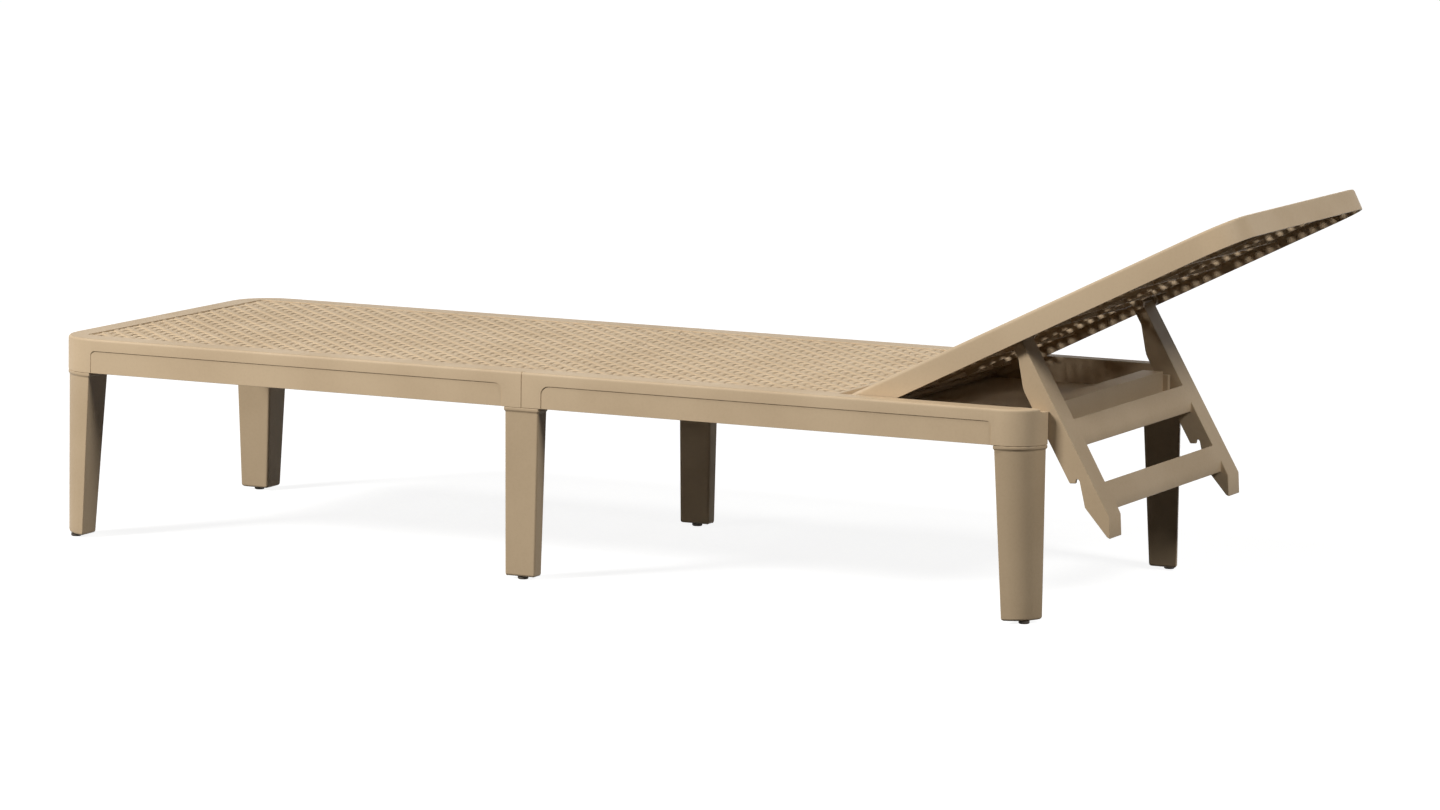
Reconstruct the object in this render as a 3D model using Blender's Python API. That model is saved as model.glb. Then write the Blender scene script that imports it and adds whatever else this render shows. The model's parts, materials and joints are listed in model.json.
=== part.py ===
"""Adjustable sun lounger moulded in resin: two frame halves on six plug-in legs, a backrest that
hinges in the bay at the head end, and a ladder prop that hangs from the backrest and drops
through two slits in the rear beam. Metres, +Z up, +X towards the head, floor at z = 0."""

import math

import bmesh
import bpy
from mathutils import Vector

# Frame
WIDTH = 0.585
SEAT_HEIGHT = 0.290
APRON_HEIGHT = 0.0495
FOOT_HALF_LENGTH = 0.7550
FRAME_LENGTH = 1.5205
FOOT_CORNER_RADIUS = 0.068
HEAD_CORNER_RADIUS = 0.052
EDGE_RADIUS = 0.004
APRON_WALL = 0.004
DECK_PLATE = 0.004
DECK_RIB_DEPTH = 0.018
RIB = 0.0025
JOINT_GAP = 0.0006
SOCKET_WALL = 0.004
GRID_OPENING = 0.026
GRID_PITCH = 0.055

# Shallow panels on the side aprons
PANEL_DEPTH = 0.0012
PANEL_DROP = 0.0175
PANEL_FOOT_MARGIN = 0.0655
PANEL_JOINT_MARGIN = 0.030
PANEL_HEAD_MARGIN = 0.0634
PANEL_END_RADIUS = 0.007
PANEL_JOINT_RADIUS = 0.012

# Bay, rails and rear beam
DECK_END = 1.2225
RAIL_WIDTH = 0.028
BAY_HEAD = 1.4797
BAY_RADIUS = 0.006
BAY_FLOOR_DROP = 0.0355
FRONT_LIP = 0.003
FRONT_LIP_DROP = 0.018
BEAM_REAR = 1.5127
BEAM_WALL = 0.003
LEDGE_DROP = 0.005
LEDGE_START = 0.031
LEDGE_WIDTH = 0.009
SLIT_START = 0.047
SLIT_WIDTH = 0.045

# Legs
FOOT_LEG_TOP = (0.0635, 0.058)
FOOT_LEG_BOTTOM = (0.0520, 0.045)
HEAD_LEG_TOP = (0.0612, 0.0465)
HEAD_LEG_BOTTOM = (0.0460, 0.0465)
MIDDLE_LEG_TOP = (0.055, 0.030)
MIDDLE_LEG_BOTTOM = (0.049, 0.025)
MIDDLE_LEG_RADIUS = 0.003
LEG_EDGE_RADIUS = 0.004
COLLAR_HEIGHT = 0.0045
COLLAR_STEP = 0.0015
SPIGOT_HEIGHT = 0.026
GLIDE_RADIUS = 0.0075
GLIDE_EXPOSED = 0.0045
GLIDE_STEM_RADIUS = 0.0035
GLIDE_STEM = 0.012
GLIDE_EDGE = 0.001
FOOT_GLIDE_PLACE = (0.0275, 0.0260)
HEAD_GLIDE_PLACE = (0.0201, 0.0250)
MIDDLE_GLIDE_DEPTH = 0.0125

# Bolts that hold the two halves together
BOLT_RADIUS = 0.003
BOLT_HEAD_RADIUS = 0.0055
BOLT_HEAD_HEIGHT = 0.004
NUT_HEIGHT = 0.005
BOLT_SPACING = 0.170
BOLT_DROP = 0.036

# Backrest, in its own frame: x along the panel from the hinge axis, z square to it
BACK_ANGLE = math.radians(26.6)
HINGE_X = 1.2415
HINGE_DROP = 0.0136
BACK_SIDE_MARGIN = 0.031
BACK_REACH = 0.607
BACK_DEPTH = 0.031
BACK_NOSE_RADIUS = 0.0182
BACK_CORNER_RADIUS = 0.060
BACK_EDGE_RADIUS = 0.004
BACK_WALL = 0.0035
BACK_PLATE = 0.004
BACK_RIB_DEPTH = 0.016
LUG_START = 0.038
LUG_THICKNESS = 0.0045
LUG_RADIUS = 0.0095
PIN_RADIUS = 0.004
PIN_HEAD_RADIUS = 0.0065
PIN_HEAD = 0.0025

# Prop: a ladder of two channel arms and two bent rungs, hung from ears under the backrest
PROP_REACH = 0.2527
PROP_DROP = 0.0079
PROP_LEAN = math.radians(30.0)
EAR_THICKNESS = 0.006
EAR_GAP = 0.0015
EAR_RADIUS = 0.009
ARM_START = 0.0482
ARM_WIDTH = 0.0423
ARM_WEB = 0.0045
ARM_FLANGE = 0.005
ARM_REAR = 0.0034
ARM_HEAD = 0.0125
ARM_LENGTH = 0.2977
ARM_DEPTH = 0.0262
ARM_NECK = 0.0125
ARM_NECK_END = 0.0278
ARM_SHOULDER = 0.0676
TOOTH_AT = 0.2110
HOOK_SLOT = 0.008
HOOK_SLOT_DEPTH = 0.014
RUNG_PLACES = (0.1302, 0.2240)
RUNG_BACK = 0.025
RUNG_FACE = 0.015
RUNG_PLATE = 0.0037
CATCH_BAR_RADIUS = 0.0035
CATCH_BAR_X = 1.4935
CATCH_BAR_DROP = 0.0365
CATCH_BAR_SEAT = 0.0035

# Clearances, cuts and facets
FIT = 0.0003
RUNNING_FIT = 0.0004
OVERRUN = 0.005
ARC_STEP = math.radians(15)
PIN_SIDES = 16
LEG_ARC_STEPS = 6
LEG_EDGE_STEPS = 2

# Places that follow from the sizes above
APRON_BOTTOM = SEAT_HEIGHT - APRON_HEIGHT
HALF_WIDTH = WIDTH / 2
HINGE_Z = SEAT_HEIGHT - HINGE_DROP
BACK_TOP = HINGE_DROP
BACK_BOTTOM = BACK_TOP - BACK_DEPTH
BACK_TIP = BACK_REACH * math.cos(BACK_ANGLE) - BACK_BOTTOM * math.sin(BACK_ANGLE)
FOOT_END = -(HINGE_X + BACK_TIP) / 2
JOINT = FOOT_END + FOOT_HALF_LENGTH
HINGE = Vector((FOOT_END + HINGE_X, 0, HINGE_Z))
PROP_LOCAL = Vector((PROP_REACH, -PROP_DROP))
DECK_RIB_BOTTOM = SEAT_HEIGHT - DECK_PLATE - DECK_RIB_DEPTH
BACK_RIB_BOTTOM = BACK_TOP - BACK_PLATE - BACK_RIB_DEPTH
SOCKET_INSET = SOCKET_WALL
SPIGOT_INSET = SOCKET_WALL + FIT
SPIGOT_TOP = APRON_BOTTOM + SPIGOT_HEIGHT
COLLAR_TOP = APRON_BOTTOM - FIT
BAY_FLOOR = SEAT_HEIGHT - BAY_FLOOR_DROP

# Looks: colour, roughness, metallic
RESIN_DECK = ("deck_resin", (0.60, 0.48, 0.33), 0.55, 0.0)
RESIN_BACK = ("back_resin", (0.60, 0.48, 0.33), 0.55, 0.0)
RESIN_LEG = ("leg_resin", (0.43, 0.33, 0.22), 0.55, 0.0)
RESIN_PROP = ("prop_resin", (0.40, 0.30, 0.20), 0.55, 0.0)
GLIDE_RUBBER = ("glide_rubber", (0.06, 0.045, 0.035), 0.80, 0.0)
PLATED_STEEL = ("plated_steel", (0.55, 0.55, 0.55), 0.35, 1.0)
PIN_RESIN = ("pin_resin", (0.35, 0.27, 0.18), 0.50, 0.0)


def clear_scene():
    for obj in list(bpy.data.objects):
        bpy.data.objects.remove(obj, do_unlink=True)


def material_for(look):
    name, colour, roughness, metallic = look
    material = bpy.data.materials.get(name) or bpy.data.materials.new(name)
    material.use_nodes = True
    shader = material.node_tree.nodes["Principled BSDF"]
    shader.inputs["Base Color"].default_value = (*colour, 1)
    shader.inputs["Roughness"].default_value = roughness
    shader.inputs["Metallic"].default_value = metallic
    material.diffuse_color = (*colour, 1)
    return material


def fillet(corners):
    """Outline through (u, v, radius) corners, each rounded by its own radius."""
    outline = []
    for index, (u, v, radius) in enumerate(corners):
        corner = Vector((u, v))
        if not radius:
            outline.append(corner)
            continue
        before = (Vector(corners[index - 1][:2]) - corner).normalized()
        after = (Vector(corners[(index + 1) % len(corners)][:2]) - corner).normalized()
        half = before.angle(after) / 2
        centre = corner + (before + after).normalized() * (radius / math.sin(half))
        first = corner + before * (radius / math.tan(half)) - centre
        last = corner + after * (radius / math.tan(half)) - centre
        outline.extend(arc(centre, radius, heading(first), heading(last)))
    return outline


def heading(vector):
    return math.atan2(vector.y, vector.x)


def arc(centre, radius, first, last, steps=None):
    """Points on a circle from one heading to another, the short way round."""
    sweep = (last - first + math.pi) % (2 * math.pi) - math.pi
    steps = steps or max(2, math.ceil(abs(sweep) / ARC_STEP))
    angles = [first + sweep * step / steps for step in range(steps + 1)]
    return [centre + Vector((math.cos(a), math.sin(a))) * radius for a in angles]


def circle(centre, radius, sides):
    angles = [2 * math.pi * step / sides for step in range(sides)]
    return [(centre[0] + radius * math.cos(a), centre[1] + radius * math.sin(a)) for a in angles]


def plan(u, v, w):
    return Vector((u, v, w))


def side(u, v, w):
    return Vector((u, w, v))


def front(u, v, w):
    return Vector((w, u, v))


def new_object(name, mesh_source, look=None):
    mesh = bpy.data.meshes.new(name)
    bmesh.ops.recalc_face_normals(mesh_source, faces=mesh_source.faces)
    mesh_source.to_mesh(mesh)
    mesh_source.free()
    obj = bpy.data.objects.new(name, mesh)
    bpy.context.scene.collection.objects.link(obj)
    if look:
        mesh.materials.append(material_for(look))
    return obj


def add_prism(shape, outline, start, end, view):
    """Extrudes an outline from start to end, square to its plane."""
    corners = [shape.verts.new(view(u, v, start)) for u, v in outline]
    face = shape.faces.new(corners)
    grown = bmesh.ops.extrude_face_region(shape, geom=[face])["geom"]
    moved = [item for item in grown if isinstance(item, bmesh.types.BMVert)]
    bmesh.ops.translate(shape, verts=moved, vec=view(0, 0, end - start))
    return moved


def prism(name, outline, start, end, view=plan, look=None):
    shape = bmesh.new()
    add_prism(shape, outline, start, end, view)
    return new_object(name, shape, look)


def box_outline(low_u, high_u, low_v, high_v):
    return [(low_u, low_v), (high_u, low_v), (high_u, high_v), (low_u, high_v)]


def mirrored(low, high):
    """A band given from the near edge, and its mirror image, as (low, high) in y."""
    return [(low - HALF_WIDTH, high - HALF_WIDTH), (HALF_WIDTH - high, HALF_WIDTH - low)]


def boolean(target, tool, operation="DIFFERENCE"):
    modifier = target.modifiers.new(tool.name, "BOOLEAN")
    modifier.operation = operation
    modifier.object = tool
    tool.parent = target
    tool.hide_render = True
    tool.display_type = "WIRE"


def round_top(shape, top, radius, keep=None):
    """Rounds the edges that lie in the top plane, but for those where keep is true."""
    rim = [
        edge
        for edge in shape.edges
        if all(abs(vert.co.z - top) < FIT for vert in edge.verts)
        and not (keep and keep(edge))
    ]
    bmesh.ops.bevel(
        shape, geom=rim, offset=radius, segments=2, profile=0.5, affect="EDGES"
    )


def turned(name, profile, sides, axis="Z", look=None):
    """A solid of revolution from (radius, height) pairs, bottom to top."""
    shape = bmesh.new()
    rings = []
    for radius, height in profile:
        ring = []
        for step in range(sides):
            angle = 2 * math.pi * step / sides
            around = (radius * math.cos(angle), radius * math.sin(angle))
            point = {
                "X": Vector((height, *around)),
                "Y": Vector((around[0], height, around[1])),
                "Z": Vector((*around, height)),
            }[axis]
            ring.append(shape.verts.new(point))
        rings.append(ring)
    stitch(shape, rings)
    obj = new_object(name, shape, look)
    obj.data.shade_smooth()
    obj.data.set_sharp_from_angle(angle=math.radians(40))
    return obj


def stitch(shape, rings):
    """Caps the first and last ring and bridges each ring to the next."""
    shape.faces.new(rings[0])
    shape.faces.new(rings[-1])
    count = len(rings[0])
    for low, high in zip(rings, rings[1:]):
        for i in range(count):
            j = (i + 1) % count
            shape.faces.new((low[i], low[j], high[j], high[i]))


def pocket_grid(shape, columns, rows, low, high, skipped):
    """Boxes between the stations, half a rib away from each; skipped cells stay solid."""
    for i, (start, end) in enumerate(zip(columns, columns[1:])):
        for j, (near, far) in enumerate(zip(rows, rows[1:])):
            if (i, j) in skipped:
                continue
            outline = box_outline(
                start + RIB / 2, end - RIB / 2, near + RIB / 2, far - RIB / 2
            )
            add_prism(shape, outline, low, high, plan)


def stations(first, last, bays):
    return [first + (last - first) * step / bays for step in range(bays + 1)]


# Frame halves


def side_panel(name, start, end, start_radius, end_radius):
    """Cutters for the shallow panels, open at the apron's lower edge."""
    shape = bmesh.new()
    top = SEAT_HEIGHT - PANEL_DROP
    low = APRON_BOTTOM - OVERRUN
    outline = fillet(
        [(start, low, 0), (end, low, 0), (end, top, end_radius), (start, top, start_radius)]
    )
    for near, far in mirrored(-OVERRUN, PANEL_DEPTH):
        add_prism(shape, outline, near, far, side)
    return new_object(name, shape)


def underside(name, start, end, blocks):
    """Cutter for the low hollow under a deck; blocks are (start, end, width) kept at the sides."""
    inner = HALF_WIDTH - APRON_WALL
    near = []
    place = start
    for low, high, width in blocks:
        if low > place:
            near += [(place, -inner), (low, -inner)]
        near += [(max(low, start), width - HALF_WIDTH), (min(high, end), width - HALF_WIDTH)]
        place = high
    if place < end:
        near += [(place, -inner), (end, -inner)]
    far = [(x, -y) for x, y in reversed(near)]
    return prism(name, near + far, APRON_BOTTOM - OVERRUN, DECK_RIB_BOTTOM)


def rib_pockets(name, columns, rows, skipped):
    shape = bmesh.new()
    pocket_grid(
        shape,
        columns,
        rows,
        DECK_RIB_BOTTOM - OVERRUN,
        SEAT_HEIGHT - DECK_PLATE,
        skipped,
    )
    return new_object(name, shape)


def grid_places(bounds):
    """Middles of the openings: as many in each bay between ribs as the pitch gives room for."""
    places = []
    for start, end in zip(bounds, bounds[1:]):
        count = max(1, round((end - start) / GRID_PITCH))
        places += stations(start, end, 2 * count)[1::2]
    return places


def open_grid(name, columns, rows, low, high):
    """Square openings through the top plate, which drain it and lighten it."""
    shape = bmesh.new()
    half = GRID_OPENING / 2
    for x in grid_places(columns):
        for y in grid_places(rows):
            add_prism(shape, box_outline(x - half, x + half, y - half, y + half), low, high, plan)
    return new_object(name, shape)


def deck_grid(name, columns, rows):
    low, high = DECK_RIB_BOTTOM - OVERRUN, SEAT_HEIGHT + OVERRUN
    return open_grid(name, columns, rows, low, high)


def deck_rows(edge_width, bays):
    """Rib stations across the deck: one beside each apron and equal ones between."""
    inner = HALF_WIDTH - APRON_WALL + RIB / 2
    edge = HALF_WIDTH - edge_width
    return [-inner, *stations(-edge, edge, bays), inner]


def corner_section(extents, radius, inset):
    """Plan section of a corner leg, its corner at the origin: an arc outside, flat inside."""
    reach_u, reach_v = extents[0] - inset, extents[1] - inset
    centre = Vector((radius, radius))
    outer = radius - inset
    first = math.atan2(-math.sqrt(outer**2 - max(radius - reach_u, 0) ** 2), reach_u - radius)
    last = math.atan2(reach_v - radius, -math.sqrt(outer**2 - max(radius - reach_v, 0) ** 2))
    curve = arc(centre, outer, first, last, LEG_ARC_STEPS)
    middle = Vector((reach_u - LEG_EDGE_RADIUS, reach_v - LEG_EDGE_RADIUS))
    corner = arc(middle, LEG_EDGE_RADIUS, math.pi / 2, 0, LEG_EDGE_STEPS)
    return curve + corner


def slab_section(extents, inset):
    """Plan section of a middle leg, centred on the joint and flush with the apron."""
    half = extents[0] / 2 - inset
    radius = MIDDLE_LEG_RADIUS
    return fillet(
        [
            (-half, inset, radius),
            (half, inset, radius),
            (half, extents[1] - inset, radius),
            (-half, extents[1] - inset, radius),
        ]
    )


def placed(section, corner, along, across):
    """Moves a plan section to its corner, with its u towards along and its v towards across."""
    return [(corner[0] + u * along, corner[1] + v * across) for u, v in section]


def socket(name, section, corner, along, across):
    outline = placed(section, corner, along, across)
    return prism(name, outline, APRON_BOTTOM - OVERRUN, SPIGOT_TOP + FIT)


def fork_outline(extents, inset, edge):
    """One prong of a middle leg's fork, from the joint wall to the leg's end."""
    start = JOINT_GAP / 2 + APRON_WALL + edge
    end = extents[0] / 2 - inset
    return box_outline(start, end, inset, extents[1] - inset)


def fork_socket(name, toward):
    shape = bmesh.new()
    for across in (-1, 1):
        outline = fork_outline(MIDDLE_LEG_TOP, SOCKET_INSET, 0)
        prong = placed(outline, (JOINT, HALF_WIDTH * across), toward, -across)
        add_prism(shape, prong, APRON_BOTTOM - OVERRUN, SPIGOT_TOP + FIT, plan)
    return new_object(name, shape)


def bolt_places():
    return [(index + 1, BOLT_SPACING * (index - 1)) for index in range(3)]


def bolt_holes(name):
    shape = bmesh.new()
    for _, y in bolt_places():
        ring = circle((y, SEAT_HEIGHT - BOLT_DROP), BOLT_RADIUS + FIT, PIN_SIDES)
        add_prism(shape, ring, JOINT - OVERRUN, JOINT + OVERRUN, front)
    return new_object(name, shape)


def foot_frame():
    end = JOINT - JOINT_GAP / 2
    outline = fillet(
        [
            (FOOT_END, -HALF_WIDTH, FOOT_CORNER_RADIUS),
            (end, -HALF_WIDTH, 0),
            (end, HALF_WIDTH, 0),
            (FOOT_END, HALF_WIDTH, FOOT_CORNER_RADIUS),
        ]
    )
    shape = bmesh.new()
    add_prism(shape, outline, APRON_BOTTOM, SEAT_HEIGHT, plan)
    round_top(
        shape, SEAT_HEIGHT, EDGE_RADIUS, lambda e: all(abs(v.co.x - end) < FIT for v in e.verts)
    )
    obj = new_object("foot_frame", shape, RESIN_DECK)

    boolean(
        obj,
        side_panel(
            "foot_panel_cut",
            FOOT_END + PANEL_FOOT_MARGIN,
            JOINT - PANEL_JOINT_MARGIN,
            PANEL_END_RADIUS,
            PANEL_JOINT_RADIUS,
        ),
    )
    foot_block = FOOT_END + FOOT_LEG_TOP[0] + SOCKET_WALL
    joint_block = JOINT - MIDDLE_LEG_TOP[0] / 2 - SOCKET_WALL
    start, inner_end = FOOT_END + APRON_WALL, end - APRON_WALL
    blocks = [
        (start, foot_block, FOOT_LEG_TOP[1] + SOCKET_WALL),
        (joint_block, inner_end, MIDDLE_LEG_TOP[1] + SOCKET_WALL),
    ]
    boolean(obj, underside("foot_underside_cut", start, inner_end, blocks))
    columns = [
        start - RIB / 2,
        foot_block + RIB / 2,
        *stations(foot_block + RIB / 2, joint_block, 6)[1:-1],
        joint_block,
        inner_end + RIB / 2,
    ]
    rows = deck_rows(FOOT_LEG_TOP[1] + SOCKET_WALL, 4)
    corners = {(0, 0), (0, len(rows) - 2), (len(columns) - 2, 0), (len(columns) - 2, len(rows) - 2)}
    boolean(obj, rib_pockets("foot_pocket_cut", columns, rows, corners))
    boolean(obj, deck_grid("foot_grid_cut", columns[1:-1], rows[1:-1]))
    for name, across in (("near", -1), ("far", 1)):
        section = corner_section(FOOT_LEG_TOP, FOOT_CORNER_RADIUS, SOCKET_INSET)
        corner = (FOOT_END, HALF_WIDTH * across)
        boolean(obj, socket(f"foot_socket_cut_{name}", section, corner, 1, -across))
    boolean(obj, fork_socket("foot_fork_cut", -1))
    boolean(obj, bolt_holes("foot_bolt_cut"))
    return obj


def head_frame():
    start = JOINT + JOINT_GAP / 2
    rear = FOOT_END + FRAME_LENGTH
    outline = fillet(
        [
            (start, -HALF_WIDTH, 0),
            (rear, -HALF_WIDTH, HEAD_CORNER_RADIUS),
            (rear, HALF_WIDTH, HEAD_CORNER_RADIUS),
            (start, HALF_WIDTH, 0),
        ]
    )
    shape = bmesh.new()
    add_prism(shape, outline, APRON_BOTTOM, SEAT_HEIGHT, plan)
    round_top(
        shape, SEAT_HEIGHT, EDGE_RADIUS, lambda e: all(abs(v.co.x - start) < FIT for v in e.verts)
    )
    obj = new_object("head_frame", shape, RESIN_DECK)

    head_block = rear - HEAD_LEG_TOP[0] - SOCKET_WALL
    boolean(
        obj,
        side_panel(
            "head_panel_cut",
            JOINT + PANEL_JOINT_MARGIN,
            rear - PANEL_HEAD_MARGIN,
            PANEL_JOINT_RADIUS,
            PANEL_END_RADIUS,
        ),
    )
    deck_end = FOOT_END + DECK_END
    joint_block = JOINT + MIDDLE_LEG_TOP[0] / 2 + SOCKET_WALL
    inner_start, inner_end = start + APRON_WALL, deck_end - APRON_WALL
    blocks = [(inner_start, joint_block, MIDDLE_LEG_TOP[1] + SOCKET_WALL)]
    boolean(obj, underside("head_underside_cut", inner_start, inner_end, blocks))
    columns = [
        inner_start - RIB / 2,
        *stations(joint_block, inner_end + RIB / 2, 4),
    ]
    rows = deck_rows(FOOT_LEG_TOP[1] + SOCKET_WALL, 4)
    boolean(obj, rib_pockets("head_pocket_cut", columns, rows, {(0, 0), (0, len(rows) - 2)}))
    boolean(obj, deck_grid("head_grid_cut", columns[1:], rows[1:-1]))
    boolean(obj, fork_socket("head_fork_cut", 1))
    boolean(obj, bolt_holes("head_bolt_cut"))

    boolean(obj, bay_cutter("bay_cut", deck_end, BAY_FLOOR, SEAT_HEIGHT + OVERRUN))
    low = APRON_BOTTOM - OVERRUN
    boolean(obj, bay_cutter("bay_underside_cut", deck_end, low, BAY_FLOOR - DECK_PLATE))
    boolean(obj, socket_bosses(), "UNION")
    boolean(obj, rail_hollows(deck_end, head_block))
    boolean(obj, beam_front_cutter())
    boolean(obj, beam_rear_cutter())
    boolean(obj, beam_hollow())
    boolean(obj, ledge_cutter())
    boolean(obj, slit_cutter())
    for name, across in (("near", -1), ("far", 1)):
        section = corner_section(HEAD_LEG_TOP, HEAD_CORNER_RADIUS, SOCKET_INSET)
        corner = (rear, HALF_WIDTH * across)
        boolean(obj, socket(f"head_socket_cut_{name}", section, corner, -1, -across))
    boolean(obj, hinge_holes())
    boolean(obj, catch_bar_holes())
    return obj


def bay_cutter(name, deck_end, low, high):
    """The bay between the rails, above or below its floor."""
    inner = HALF_WIDTH - RAIL_WIDTH
    head = FOOT_END + BAY_HEAD
    outline = fillet(
        [
            (deck_end, -inner, 0),
            (head, -inner, BAY_RADIUS),
            (head, inner, BAY_RADIUS),
            (deck_end, inner, 0),
        ]
    )
    return prism(name, outline, low, high)


def socket_bosses():
    """Low corner blocks in the bay, which close the walls of the head legs' sockets."""
    shape = bmesh.new()
    start = FOOT_END + FRAME_LENGTH - HEAD_LEG_TOP[0]
    end = FOOT_END + BAY_HEAD + FIT
    for near, far in mirrored(RAIL_WIDTH - FIT, HEAD_LEG_TOP[1]):
        outline = box_outline(start, end, near, far)
        add_prism(shape, outline, APRON_BOTTOM, SPIGOT_TOP + FIT + SOCKET_WALL, plan)
    return new_object("socket_bosses", shape)


def rail_hollows(deck_end, head_block):
    shape = bmesh.new()
    for near, far in mirrored(APRON_WALL, RAIL_WIDTH - APRON_WALL):
        outline = box_outline(deck_end, head_block, near, far)
        add_prism(shape, outline, APRON_BOTTOM - OVERRUN, SEAT_HEIGHT - DECK_PLATE, plan)
    return new_object("rail_hollow_cut", shape)


def beam_front_cutter():
    """Lowers the front lip of the beam."""
    head = FOOT_END + BAY_HEAD
    inner = HALF_WIDTH - RAIL_WIDTH
    outline = box_outline(head - OVERRUN, head + FRONT_LIP, -inner, inner)
    return prism(
        "beam_front_cut", outline, SEAT_HEIGHT - FRONT_LIP_DROP, SEAT_HEIGHT + OVERRUN
    )


def beam_rear_cutter():
    """Sets the middle of the beam forward of the corner blocks, with a ledge at each end."""
    half = HALF_WIDTH - SLIT_START - SLIT_WIDTH - LEDGE_WIDTH
    rear = FOOT_END + FRAME_LENGTH + OVERRUN
    outline = box_outline(FOOT_END + BEAM_REAR, rear, -half, half)
    return prism("beam_rear_cut", outline, APRON_BOTTOM - OVERRUN, SEAT_HEIGHT + OVERRUN)


def beam_hollow():
    start = FOOT_END + BAY_HEAD + FRONT_LIP + BEAM_WALL
    end = FOOT_END + BEAM_REAR - BEAM_WALL
    half = HALF_WIDTH - SLIT_START - SLIT_WIDTH - LEDGE_WIDTH - APRON_WALL
    outline = box_outline(start, end, -half, half)
    return prism(
        "beam_hollow_cut", outline, APRON_BOTTOM - OVERRUN, SEAT_HEIGHT - DECK_PLATE
    )


def ledge_cutter():
    """Lowers the beam beside the slits, so that the backrest's walls have room when it is down."""
    shape = bmesh.new()
    start = FOOT_END + BAY_HEAD - OVERRUN
    rear = FOOT_END + FRAME_LENGTH + OVERRUN
    ledge_end = SLIT_START + SLIT_WIDTH + LEDGE_WIDTH
    for near, far in mirrored(LEDGE_START, ledge_end):
        outline = box_outline(start, rear, near, far)
        add_prism(shape, outline, SEAT_HEIGHT - LEDGE_DROP, SEAT_HEIGHT + OVERRUN, plan)
    return new_object("ledge_cut", shape)


def slit_cutter():
    shape = bmesh.new()
    start = FOOT_END + BAY_HEAD + FRONT_LIP
    rear = FOOT_END + FRAME_LENGTH + OVERRUN
    for near, far in mirrored(SLIT_START, SLIT_START + SLIT_WIDTH):
        outline = box_outline(start, rear, near, far)
        add_prism(shape, outline, APRON_BOTTOM - OVERRUN, SEAT_HEIGHT + OVERRUN, plan)
    return new_object("slit_cut", shape)


def bar_through(shape, centre, radius, start, end, sides):
    """A round bar along Y in a cutter, its centre given as (x, z)."""
    add_prism(shape, circle(centre, radius, sides), start, end, side)


def hinge_holes():
    """Bores in the rails' inner walls for the hinge pins."""
    shape = bmesh.new()
    wall = RAIL_WIDTH - APRON_WALL
    for near, far in mirrored(wall - APRON_WALL, RAIL_WIDTH + OVERRUN):
        bar_through(shape, (HINGE.x, HINGE.z), PIN_RADIUS + FIT, near, far, PIN_SIDES)
    return new_object("hinge_bore_cut", shape)


def catch_bar_holes():
    shape = bmesh.new()
    centre = (FOOT_END + CATCH_BAR_X, SEAT_HEIGHT - CATCH_BAR_DROP)
    start = SLIT_START - CATCH_BAR_SEAT - FIT
    end = SLIT_START + SLIT_WIDTH + CATCH_BAR_SEAT + FIT
    for near, far in mirrored(start, end):
        bar_through(shape, centre, CATCH_BAR_RADIUS + FIT, near, far, PIN_SIDES)
    return new_object("catch_bar_cut", shape)


def catch_bar(name, across):
    start = SLIT_START - CATCH_BAR_SEAT
    end = SLIT_START + SLIT_WIDTH + CATCH_BAR_SEAT
    length = end - start
    profile = [(CATCH_BAR_RADIUS, -length / 2), (CATCH_BAR_RADIUS, length / 2)]
    obj = turned(name, profile, PIN_SIDES, "Y", PLATED_STEEL)
    middle = HALF_WIDTH - (start + end) / 2
    obj.location = (FOOT_END + CATCH_BAR_X, middle * across, SEAT_HEIGHT - CATCH_BAR_DROP)
    return obj


def joint_bolt(name, y):
    """A hexagon bolt through both joint walls, its head on the foot side."""
    wall = JOINT_GAP / 2 + APRON_WALL + FIT
    shape = bmesh.new()
    rings = []
    tip = wall + NUT_HEIGHT + BOLT_RADIUS
    levels = [
        (BOLT_HEAD_RADIUS, -wall - BOLT_HEAD_HEIGHT),
        (BOLT_HEAD_RADIUS, -wall),
        (BOLT_RADIUS, -wall),
        (BOLT_RADIUS, tip),
    ]
    for radius, x in levels:
        ring = []
        for step in range(12):
            angle = 2 * math.pi * step / 12
            reach = radius
            if radius > BOLT_RADIUS and step % 2:
                reach = radius * math.cos(math.pi / 6)
            ring.append(
                shape.verts.new(Vector((x, reach * math.cos(angle), reach * math.sin(angle))))
            )
        rings.append(ring)
    stitch(shape, rings)
    obj = new_object(name, shape, PLATED_STEEL)
    obj.location = (JOINT, y, SEAT_HEIGHT - BOLT_DROP)
    return obj


def joint_nut(name, y):
    start = JOINT_GAP / 2 + APRON_WALL + FIT
    profile = [(BOLT_HEAD_RADIUS, start), (BOLT_HEAD_RADIUS, start + NUT_HEIGHT)]
    obj = turned(name, profile, 6, "X", PLATED_STEEL)
    bore = [(BOLT_RADIUS + FIT, start - OVERRUN), (BOLT_RADIUS + FIT, start + NUT_HEIGHT + OVERRUN)]
    boolean(obj, turned(f"{name}_bore", bore, 12, "X"))
    obj.location = (JOINT, y, SEAT_HEIGHT - BOLT_DROP)
    return obj


# Legs and glides


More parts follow.
